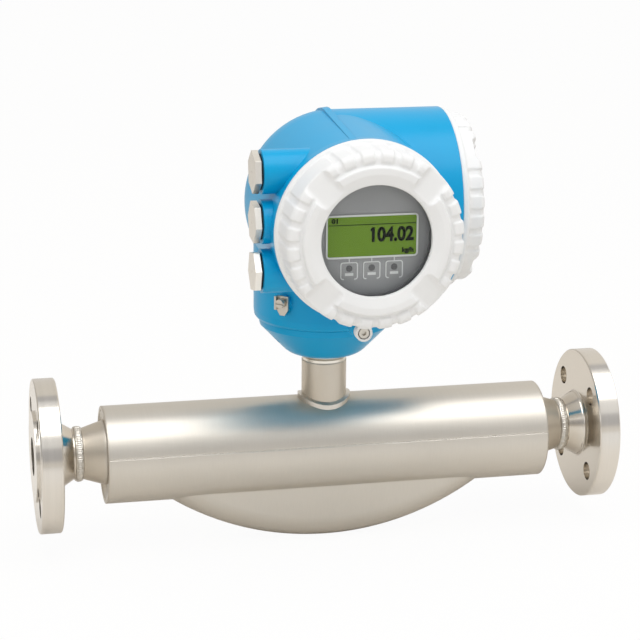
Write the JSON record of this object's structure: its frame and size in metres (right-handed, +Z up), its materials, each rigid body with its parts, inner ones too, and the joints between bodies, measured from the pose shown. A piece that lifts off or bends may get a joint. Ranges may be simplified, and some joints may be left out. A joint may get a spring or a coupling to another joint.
{
  "type": "coriolis flow meter",
  "caption": "Coriolis mass flow meter: bent tube pair in a bellied steel body between flanges, with a turning cast transmitter, display window and screw covers.",
  "frame": {"origin": "middle of the inlet flange's raised face, on the flow line", "axes": "+X along the flow from inlet to outlet, -Y out of the display, +Z up through the neck"},
  "size_m": [0.44, 0.2015, 0.3291],
  "materials": {
    "flange_steel": "bright turned",
    "weld_steel": "rippled weld, brushed clean",
    "body_steel": "satin, fine turned lines",
    "inner_steel": "drawn tube",
    "coil_copper": "wound enamelled wire",
    "magnet_steel": "plated",
    "sensor_black": "moulded",
    "spigot_steel": "fine turned",
    "seal_rubber": "matt black",
    "blue_coat": "glossy powder coat",
    "module_plastic": "moulded",
    "board_green": "printed circuit board",
    "terminal_green": "moulded",
    "screw_steel": "plain machined",
    "display_grey": "fine grain",
    "screen_green": "backlit liquid crystal",
    "key_grey": "printed key frames",
    "white_coat": "satin powder coat",
    "window_glass": "clear, toughened",
    "retainer_black": "matt black",
    "plug_steel": "nickel plated, satin"
  },
  "bodies": {
    "sensor": {"inlet_flange": "flange_steel", "outlet_flange": "flange_steel", "inlet_weld": "weld_steel", "outlet_weld": "weld_steel", "inlet_manifold": "body_steel", "outlet_manifold": "body_steel", "upper_shell": "body_steel", "belly_shell": "body_steel", "front_seam": "weld_steel", "rear_seam": "weld_steel", "inlet_end_weld": "weld_steel", "outlet_end_weld": "weld_steel", "front_measuring_tube": "inner_steel", "rear_measuring_tube": "inner_steel", "inlet_brace": "inner_steel", "outlet_brace": "inner_steel", "drive_coil": "coil_copper", "drive_magnet": "magnet_steel", "inlet_pickoff_coil": "coil_copper", "inlet_pickoff_magnet": "magnet_steel", "outlet_pickoff_coil": "coil_copper", "outlet_pickoff_magnet": "magnet_steel", "temperature_sensor": "sensor_black", "neck_tube": "body_steel", "neck_weld_bead": "weld_steel", "swivel_spigot": "spigot_steel", "swivel_seal": "seal_rubber", "feedthrough": "spigot_steel"},
    "transmitter": {"neck_adapter": "blue_coat", "adapter_gasket": "seal_rubber", "housing": "blue_coat", "electronics_module": "module_plastic", "main_board": "board_green", "display_carrier": "module_plastic", "terminal_carrier": "module_plastic", "terminal_block": "terminal_green"},
    "set_screw": {"set_screw": "screw_steel"},
    "ground_clamp": {"ground_clamp": "screw_steel"},
    "ground_screw": {"ground_screw": "screw_steel"},
    "display": {"display_module": "display_grey", "display_screen": "screen_green", "touch_keys": "key_grey"},
    "front_cover_seal": {"front_cover_seal": "seal_rubber"},
    "front_cover": {"front_cover": "white_coat", "window_glass": "window_glass", "glass_retainer": "retainer_black"},
    "side_cover_seal": {"side_cover_seal": "seal_rubber"},
    "side_cover": {"side_cover": "white_coat"},
    "upper_plug_seal": {"upper_plug_seal": "seal_rubber"},
    "upper_plug": {"upper_plug": "plug_steel"},
    "middle_plug_seal": {"middle_plug_seal": "seal_rubber"},
    "middle_plug": {"middle_plug": "plug_steel"},
    "lower_plug_seal": {"lower_plug_seal": "seal_rubber"},
    "lower_plug": {"lower_plug": "plug_steel"},
    "front_clamp": {"front_clamp": "white_coat"},
    "front_clamp_screw": {"front_clamp_screw": "screw_steel"},
    "side_clamp": {"side_clamp": "white_coat"},
    "side_clamp_screw": {"side_clamp_screw": "screw_steel"}
  },
  "joints": [
    {"name": "transmitter_turn", "type": "hinge", "parent": "sensor", "child": "transmitter", "pos_m": [0.22, 0, 0.069], "axis": [0, 0, 1], "range_deg": [-175, 175]},
    {"name": "set_screw_travel", "type": "slide", "parent": "transmitter", "child": "set_screw", "axis": [-0.9848, -0.1736, 0], "range_m": [-0.0002, 0.004]},
    {"name": "ground_screw_travel", "type": "slide", "parent": "transmitter", "child": "ground_clamp", "axis": [-0.7071, -0.7071, 0], "range_m": [0, 0.003]},
    {"name": "ground_screw_turn", "type": "hinge", "parent": "ground_clamp", "child": "ground_screw", "pos_m": [0.18076, -0.03924, 0.1185], "axis": [-0.7071, -0.7071, 0], "range_deg": [0, 1547.9]},
    {"name": "display_turn", "type": "hinge", "parent": "transmitter", "child": "display", "pos_m": [0.224, -0.107, 0.184], "axis": [0, -1, 0], "range_deg": [-360, 360]},
    {"name": "front_cover_travel", "type": "slide", "parent": "transmitter", "child": "front_cover_seal", "axis": [0, -1, 0], "range_m": [0, 0.0125]},
    {"name": "front_cover_turn", "type": "hinge", "parent": "front_cover_seal", "child": "front_cover", "pos_m": [0.224, -0.107, 0.184], "axis": [0, -1, 0], "range_deg": [0, 2255]},
    {"name": "side_cover_travel", "type": "slide", "parent": "transmitter", "child": "side_cover_seal", "axis": [1, 0, 0], "range_m": [0, 0.0125]},
    {"name": "side_cover_turn", "type": "hinge", "parent": "side_cover_seal", "child": "side_cover", "pos_m": [0.303, -0.012, 0.1865], "axis": [1, 0, 0], "range_deg": [0, 2255]},
    {"name": "upper_plug_travel", "type": "slide", "parent": "transmitter", "child": "upper_plug_seal", "axis": [-1, 0, 0], "range_m": [0, 0.0125]},
    {"name": "upper_plug_turn", "type": "hinge", "parent": "upper_plug_seal", "child": "upper_plug", "pos_m": [0.155, -0.084, 0.2235], "axis": [-1, 0, 0], "range_deg": [0, 3005]},
    {"name": "middle_plug_travel", "type": "slide", "parent": "transmitter", "child": "middle_plug_seal", "axis": [-1, 0, 0], "range_m": [0, 0.0125]},
    {"name": "middle_plug_turn", "type": "hinge", "parent": "middle_plug_seal", "child": "middle_plug", "pos_m": [0.155, -0.084, 0.1885], "axis": [-1, 0, 0], "range_deg": [0, 3005]},
    {"name": "lower_plug_travel", "type": "slide", "parent": "transmitter", "child": "lower_plug_seal", "axis": [-1, 0, 0], "range_m": [0, 0.0125]},
    {"name": "lower_plug_turn", "type": "hinge", "parent": "lower_plug_seal", "child": "lower_plug", "pos_m": [0.155, -0.084, 0.1535], "axis": [-1, 0, 0], "range_deg": [0, 3005]},
    {"name": "front_clamp_travel", "type": "slide", "parent": "transmitter", "child": "front_clamp", "axis": [0, -1, 0], "range_m": [0, 0.0025]},
    {"name": "front_clamp_turn", "type": "hinge", "parent": "front_clamp", "child": "front_clamp_screw", "pos_m": [0.22275, -0.107, 0.11251], "axis": [0, -1, 0], "range_deg": [0, 1290.7]},
    {"name": "side_clamp_travel", "type": "slide", "parent": "transmitter", "child": "side_clamp", "axis": [1, 0, 0], "range_m": [0, 0.0025]},
    {"name": "side_clamp_turn", "type": "hinge", "parent": "side_clamp", "child": "side_clamp_screw", "pos_m": [0.303, -0.00181, 0.11401], "axis": [1, 0, 0], "range_deg": [0, 1290.7]}
  ],
  "couplings": [
    {"joint": "ground_screw_turn", "follows": "ground_screw_travel", "rad_per_m": 8976},
    {"joint": "front_cover_turn", "follows": "front_cover_travel", "rad_per_m": 3141.6},
    {"joint": "side_cover_turn", "follows": "side_cover_travel", "rad_per_m": 3141.6},
    {"joint": "upper_plug_turn", "follows": "upper_plug_travel", "rad_per_m": 4188.8},
    {"joint": "middle_plug_turn", "follows": "middle_plug_travel", "rad_per_m": 4188.8},
    {"joint": "lower_plug_turn", "follows": "lower_plug_travel", "rad_per_m": 4188.8},
    {"joint": "front_clamp_turn", "follows": "front_clamp_travel", "rad_per_m": 8976},
    {"joint": "side_clamp_turn", "follows": "side_clamp_travel", "rad_per_m": 8976}
  ]
}
